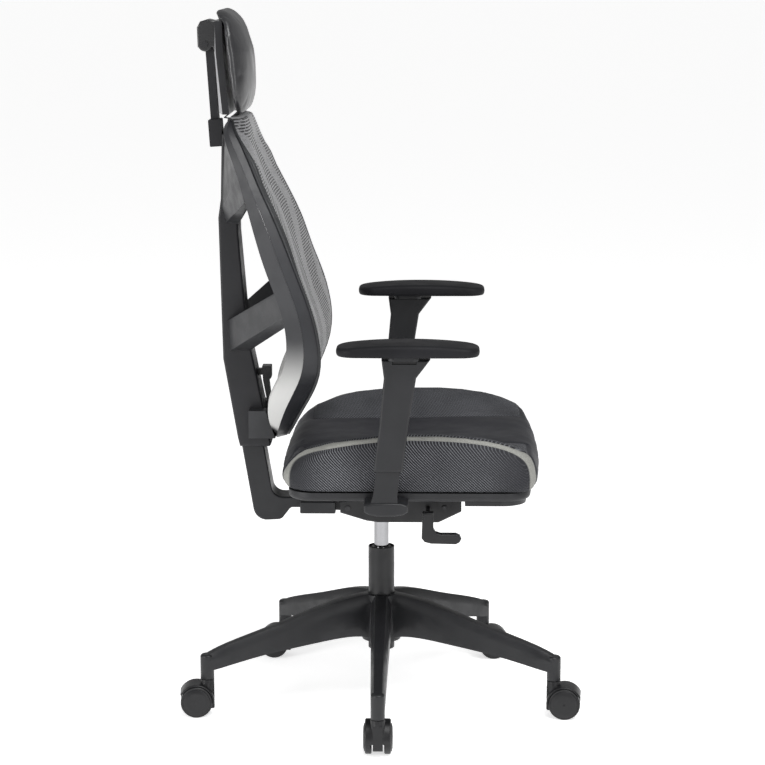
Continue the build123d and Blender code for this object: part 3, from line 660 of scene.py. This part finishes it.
# ---------------------------------------------------------------- armrest pads
def build_pad(name):
    """One armrest's pad, a little wider in its middle and lower at its ends."""
    low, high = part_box("arm_pad_" + name)
    middle = (low + high) / 2
    half, bottom, top = (high.x - low.x) / 2, low.z, high.z
    edge = outline(half - 0.004, low.y - middle.y + 0.001, high.y - middle.y - 0.001, (0.030, 0.030),
                   0.0, 0.0, 160)
    for p, n in edge:
        p.x *= 1.0 + 0.07 * (1 - min(1.0, abs(p.y) / 0.12) ** 2)

    def pad_top(x, y):
        droop = 0.0085 * (abs(y) / 0.127) ** 2.2
        crown = 0.0022 * (1 - min(1.0, abs(x) / half) ** 2)
        return top - bottom - 0.0035 - droop + crown

    pad = cushion("armrest_pad_" + name, edge, 0.0005, lambda n: 0.0075,
                  pad_top, lambda n: 0.0085,
                  ((0.006, 0.0), (0.003, 0.08), (0.001, 0.35), (0.0, 1.0)),
                  lambda x, y, z: Vector((x + middle.x, y + middle.y, z + bottom)),
                  power=0.55, inner_rings=12)
    subdivided(pad)
    finished(pad, PAD_MATERIAL, "pad_" + name, "arm_pad", "arm_pad_" + name)


# ---------------------------------------------------------------- back mesh
MESH_ROW, MESH_SLIT = 0.0050, 0.024   # the slits' spacing down and across
MESH_LANE, MESH_PIN = 0.19, 0.0032   # the spacing of the bands of slits and of the pinholes between
MESH_INSET, MESH_STANDS = 0.0015, 0.0014   # the sheet's edge from the carrier's outer front edge
MESH_SWELL = 0.003               # how far the upper half stands forward of its rim
MESH_HOLLOW = 0.0368             # how far the sheet's middle hangs back, as a share of its half width
RIM_DEPTH = 0.0055               # how far the black rim stands out in front of the carrier there
RIM_WIDTH, CORD_RADIUS = 0.003, 0.0013
LIP_FROM, LIP_WRAP = 1.02, 0.018   # above this the sheet spans straight to the carrier's top lip
ROLL_UP, ROLL_BACK, ROLL_IN = 0.0066, 0.018, 0.02   # and is turned back over it
ROLL_STEPS = 6


def slice_of(obj, z):
    """The x and y at which an object's triangles cross one height."""
    found = []
    mesh = obj.data
    for edge in mesh.edges:
        a, b = (mesh.vertices[i].co for i in edge.vertices)
        if (a.z - z) * (b.z - z) < 0:
            found.append(a.lerp(b, (z - a.z) / (b.z - a.z)))
    return found


def mesh_levels():
    """The sheet's edge from the bottom up and over the lip: height, half width, y and the carrier's y."""
    low = min(v.co.z for v in NODES["back_mesh"].data.vertices) - 0.006
    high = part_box("mesh_carrier")[1].z - 0.0065
    levels, steps = [], 40
    for step in range(steps + 1):
        z = low + (high - low) * (1 - (1 - step / steps) ** 1.25)
        found = slice_of(NODES["mesh_carrier"], z)
        half = max(p.x for p in found)
        front = min(p.y for p in found)
        levels.append((z, half - MESH_INSET, front - MESH_STANDS, front))
    half, carrier = levels[-1][1], levels[-1][3]
    lip = levels[-1][2] + RIM_DEPTH + MESH_SWELL
    span = [(LIP_FROM, between([(level[0], level[2]) for level in levels], LIP_FROM)), (high, lip)]
    levels = [(z, wide, between(span, z) if z > LIP_FROM else front, at) for z, wide, front, at in levels]
    for step in range(1, ROLL_STEPS + 1):
        a = math.radians(90 * step / ROLL_STEPS)
        levels.append((high + ROLL_UP * math.sin(a), half - ROLL_IN * (1 - math.cos(a)),
                       lip + ROLL_BACK * (1 - math.cos(a)), carrier))
    return levels


def rim_depth(z):
    """How far the sheet's edge is set forward by its black rim, which fades in at mid height."""
    return RIM_DEPTH * ease(z, 0.84, 0.93)


def lip_wrap(z):
    """How far back the sheet's sides reach round the carrier's rounded top corners."""
    return LIP_WRAP * ease(z, 1.04, 1.12)


def mesh_rim(levels):
    """The black rim: a strip up each side, and a cord all round the sheet's edge."""
    pieces = []
    for side in (-1, 1):
        rings = []
        for z, half, front, carrier in levels[:-ROLL_STEPS]:
            x, near = side * half, front - rim_depth(z) + lip_wrap(z) - 0.0008
            far = max(carrier + 0.002, near + 0.004)
            rings.append([Vector((x, far, z)), Vector((x, near, z)),
                          Vector((x - side * RIM_WIDTH, near, z)), Vector((x - side * RIM_WIDTH, far, z))])
        pieces.append(ring_solid("back_mesh_rim", rings))
    cord = []
    for side, order in ((-1, levels), (1, levels[::-1])):
        for z, half, front, _ in order:
            cord.append(Vector((side * half, front - rim_depth(z) + lip_wrap(z), z)))
    pieces.append(tube("back_mesh_cord", cord, CORD_RADIUS, True))
    return pieces


def build_back_mesh():
    """The sheet over its carrier, with its rim and cord."""
    levels = mesh_levels()
    counted = list(enumerate(levels))
    columns, parts = 56, 3
    points, faces = [], []
    rows = (len(levels) - 1) * parts
    for r in range(rows + 1):
        z, half, front = (between([(n, level[i]) for n, level in counted], r / parts) for i in range(3))
        swell = MESH_SWELL * ease(z, 0.93, 1.04)
        hollow = MESH_HOLLOW * half * (1 - ease(z, 1.08, 1.12))
        for c in range(columns + 1):
            u = math.sin(math.pi * (c / columns - 0.5))
            y = front - rim_depth(z) - swell * (1 - abs(u) ** 7) + lip_wrap(z) * abs(u) ** 8
            points.append((half * u, y + hollow * (1 - u * u) ** 2, z))
    for r in range(rows):
        for c in range(columns):
            a = r * (columns + 1) + c
            faces.append((a, a + 1, a + columns + 2, a + columns + 1))
    sheet = new_object("back_mesh_cloth", points, faces)
    finished(sheet, back_fabric(), "backrest", "mesh", "back_mesh")
    material = moulded("mesh_edge_black", (0.014, 0.0145, 0.016), 0.35, 0.5)
    rim = mesh_rim(levels)
    for piece in rim:
        finished(piece, material, "backrest", "carrier_black")


# ---------------------------------------------------------------- CAD nodes
def called(names):
    """The CAD nodes with these names; a name that ends in * stands for all that start so."""
    return [NODES[n] for name in names for n in NODES
            if n == name or name.endswith("*") and n.startswith(name[:-1])]


def dress(material, *names):
    """Put a material on CAD nodes."""
    for obj in called(names):
        if not obj.material_slots:
            obj.data.materials.append(material)
        for slot in obj.material_slots:
            slot.material = material


def softened(width, *names):
    """Small round edges on CAD nodes, so that they catch the light."""
    for obj in called(names):
        weld = obj.modifiers.new("weld", "WELD")
        weld.merge_threshold = 0.00002
        bevel = obj.modifiers.new("edges", "BEVEL")
        bevel.width = width
        bevel.segments = 2
        bevel.limit_method = "ANGLE"
        bevel.angle_limit = math.radians(35)
        bevel.harden_normals = False


def hoop_finish():
    """The rear hoop: black plastic painted grey like the struts as painted light on its rear faces lit
    from behind, with a near-white painted highlight where it bends in below.
    """
    finish = Finish("hoop_painted_light", (0.042, 0.0425, 0.0455), 0.4)
    x, _, z = finish.axes()
    # painted light: the grey stands in for light from behind on the hoop's rear faces, not for a lighter
    # plastic
    tone = finish.span(finish.noise(14.0), 0.35, 0.65)
    grey = finish.mix(tone, (0.022, 0.0225, 0.0245), (0.032, 0.0325, 0.035))
    # painted highlight: near white where the lower rail bends in, standing in for strong light from behind
    painted_highlight = finish.math("MULTIPLY", finish.span(z, 0.75, 0.62),
                       finish.span(finish.math("ABSOLUTE", x), 0.074, 0.1))
    finish.set("Base Color", finish.mix(painted_highlight, grey, (0.50, 0.50, 0.49)))
    finish.polish(0.36, 0.48)
    finish.bump(finish.noise(900.0, 2.0), 0.00014)
    return finish.material


def head_shell_finish():
    """The headrest's plate: black, with a light grey painted reflection on its back, standing in for light
    from behind on its curve.
    """
    finish = Finish("head_shell", (0.012, 0.012, 0.0135), 0.35)
    x = finish.axes()[0]
    # painted reflection: inside its black side edges the plate's back is coloured light grey in place of
    # light from behind
    painted_reflection = finish.span(finish.math("ABSOLUTE", x), 0.1085, 0.1065)
    finish.set("Base Color", finish.mix(painted_reflection, (0.012, 0.012, 0.0135), (0.33, 0.33, 0.34)))
    finish.polish(0.3, 0.42)
    finish.bump(finish.noise(900.0, 2.0), 0.0001)
    return finish.material


def of_casters(part):
    """The names of one part of each of the five casters."""
    return [f"caster_{i}_{part}" for i in range(1, 6)]


def dress_frame():
    """Give every CAD node that keeps its own shape a material."""
    nylon = moulded("nylon_black", (0.0125, 0.0128, 0.0143), 0.34, 0.46)
    # painted light: the frame's black plastic painted grey on the yoke and struts, standing in for their
    # rear faces lit from behind
    frame_grey = moulded("frame_grey", (0.027, 0.0275, 0.0295), 0.36, 0.48, grain=0.00014, scale=900.0)
    dress(nylon, "star_base", "j_bar", "recline_bracket", "arm_bracket_*", "arm_sleeve_*", "arm_plate_*")
    spine_black = moulded("spine_black", (0.0135, 0.0135, 0.0155), 0.38, 0.5)
    dress(spine_black, "spine", "post_bracket", "head_post")
    dress(leather("hood_gloss", (0.012, 0.012, 0.013), 0.2, 0.3, Specular_IOR_Level=0.6), "head_hood")
    dress(frame_grey, "back_yoke", "back_struts")
    dress(hoop_finish(), "back_hoop")
    dress(moulded("carrier_black", (0.017, 0.0175, 0.02), 0.34, 0.44), "mesh_carrier")
    dress(moulded("caster_plastic", (0.0095, 0.0095, 0.0105), 0.3, 0.42), *of_casters("body"))
    dress(moulded("caster_tread", (0.011, 0.011, 0.012), 0.32, 0.45), *of_casters("wheels"))
    dress(moulded("lever_plastic", (0.008, 0.008, 0.009), 0.25, 0.36), "lever_paddle", "arm_button_*",
          "height_latch", "column_bushing")
    dress(moulded("seat_shell", (0.015, 0.0152, 0.017), 0.42, 0.55), "seat_pan")
    dress(head_shell_finish(), "head_shell")
    black_metal = powder_coat("black_metal", (0.0105, 0.0105, 0.0115))
    dress(black_metal, "column_tube", "mech_housing", "seat_plate", "lever_rod")
    dress(brushed("chrome", (0.30, 0.30, 0.31), 0.10, 0.18, (1, 1, 0.03)), "gas_cylinder", "piston_rod")
    steel = brushed("steel", (0.42, 0.42, 0.44), 0.25, 0.4, (1, 1, 0.1))
    dress(steel, *of_casters("axle"), "caster_stems", "thrust_bearing", "retaining_clip",
          "recline_spring")
    bolt_black = powder_coat("bolt_black", (0.02, 0.02, 0.022))
    dress(bolt_black, "j_bar_bolts", "seat_bolts", "recline_pin", "tilt_pin", "head_pin")
    dress(plywood(), "seat_board")


def plywood():
    """Plywood with its grain running from front to rear."""
    finish = Finish("plywood", (0.5, 0.36, 0.2), 0.65)
    grain = finish.noise(60.0, 5.0, (1, 0.06, 6))
    shade = finish.span(grain, 0.3, 0.7)
    finish.set("Base Color", finish.mix(shade, (0.42, 0.29, 0.16), (0.6, 0.45, 0.27)))
    finish.bump(grain, 0.0003)
    return finish.material


# ---------------------------------------------------------------- stage
def softbox(name, place, aim, size, power):
    """A rectangular area light aimed at a point."""
    light = bpy.data.lights.new(name, "AREA")
    light.shape = "RECTANGLE"
    light.size, light.size_y = size
    light.energy = power
    obj = bpy.data.objects.new(name, light)
    bpy.context.scene.collection.objects.link(obj)
    obj.location = place
    obj.rotation_euler = (Vector(aim) - Vector(place)).to_track_quat("-Z", "Y").to_euler()


def build_stage():
    """The white studio: a floor just under the casters, a pale world, three softboxes, the camera."""
    size, level = 400.0, -0.0006
    corners = [(-size, -size, level), (size, -size, level), (size, size, level), (-size, size, level)]
    floor = new_object("studio_floor", corners, [(0, 1, 2, 3)])
    floor.data.materials.append(floor_paint())
    scene = bpy.context.scene
    world = bpy.data.worlds.new("studio")
    scene.world = world
    world.use_nodes = True
    sky = world.node_tree.nodes["Background"]
    sky.inputs["Color"].default_value = (1.0, 1.0, 1.0, 1.0)
    sky.inputs["Strength"].default_value = 0.35
    centre = (0, 0.05, 0.75)
    softbox("key_top", (-1.6, -0.9, 3.2), centre, (2.2, 1.8), 90)
    softbox("rear_left", (-2.2, 2.8, 1.3), (0, 0.2, 0.8), (1.0, 2.0), 60)
    softbox("camera_fill", (-3.4, -2.2, 1.6), centre, (1.2, 1.8), 30)
    scene.view_settings.view_transform = "Standard"

    camera = bpy.data.cameras.new("camera")
    camera.sensor_width = 36.0
    camera.lens = 110.87
    camera.shift_x = 0.0014
    camera.clip_end = 1000.0
    view = bpy.data.objects.new("camera", camera)
    scene.collection.objects.link(view)
    view.location = (-4.3992, -0.0845, 1.42)
    yaw, pitch = math.radians(1.1), math.radians(10.27)
    ahead = Vector((math.cos(yaw) * math.cos(pitch), math.sin(yaw) * math.cos(pitch), -math.sin(pitch)))
    view.rotation_euler = ahead.to_track_quat("-Z", "Y").to_euler()
    scene.camera = view


PAD_MATERIAL = leather("arm_pad_skin", (0.011, 0.011, 0.0125), 0.46, 0.58, Specular_IOR_Level=0.1)
dress_frame()
softened(0.0008, "star_base", "caster_*", "arm_bracket_*", "arm_sleeve_*", "arm_plate_*", "spine",
         "back_yoke", "back_struts", "mech_housing", "recline_bracket", "seat_pan", "lever_paddle",
         "head_hood", "post_bracket")
build_seat()
build_headrest()
build_pad("right")
build_pad("left")
build_back_mesh()
build_stage()
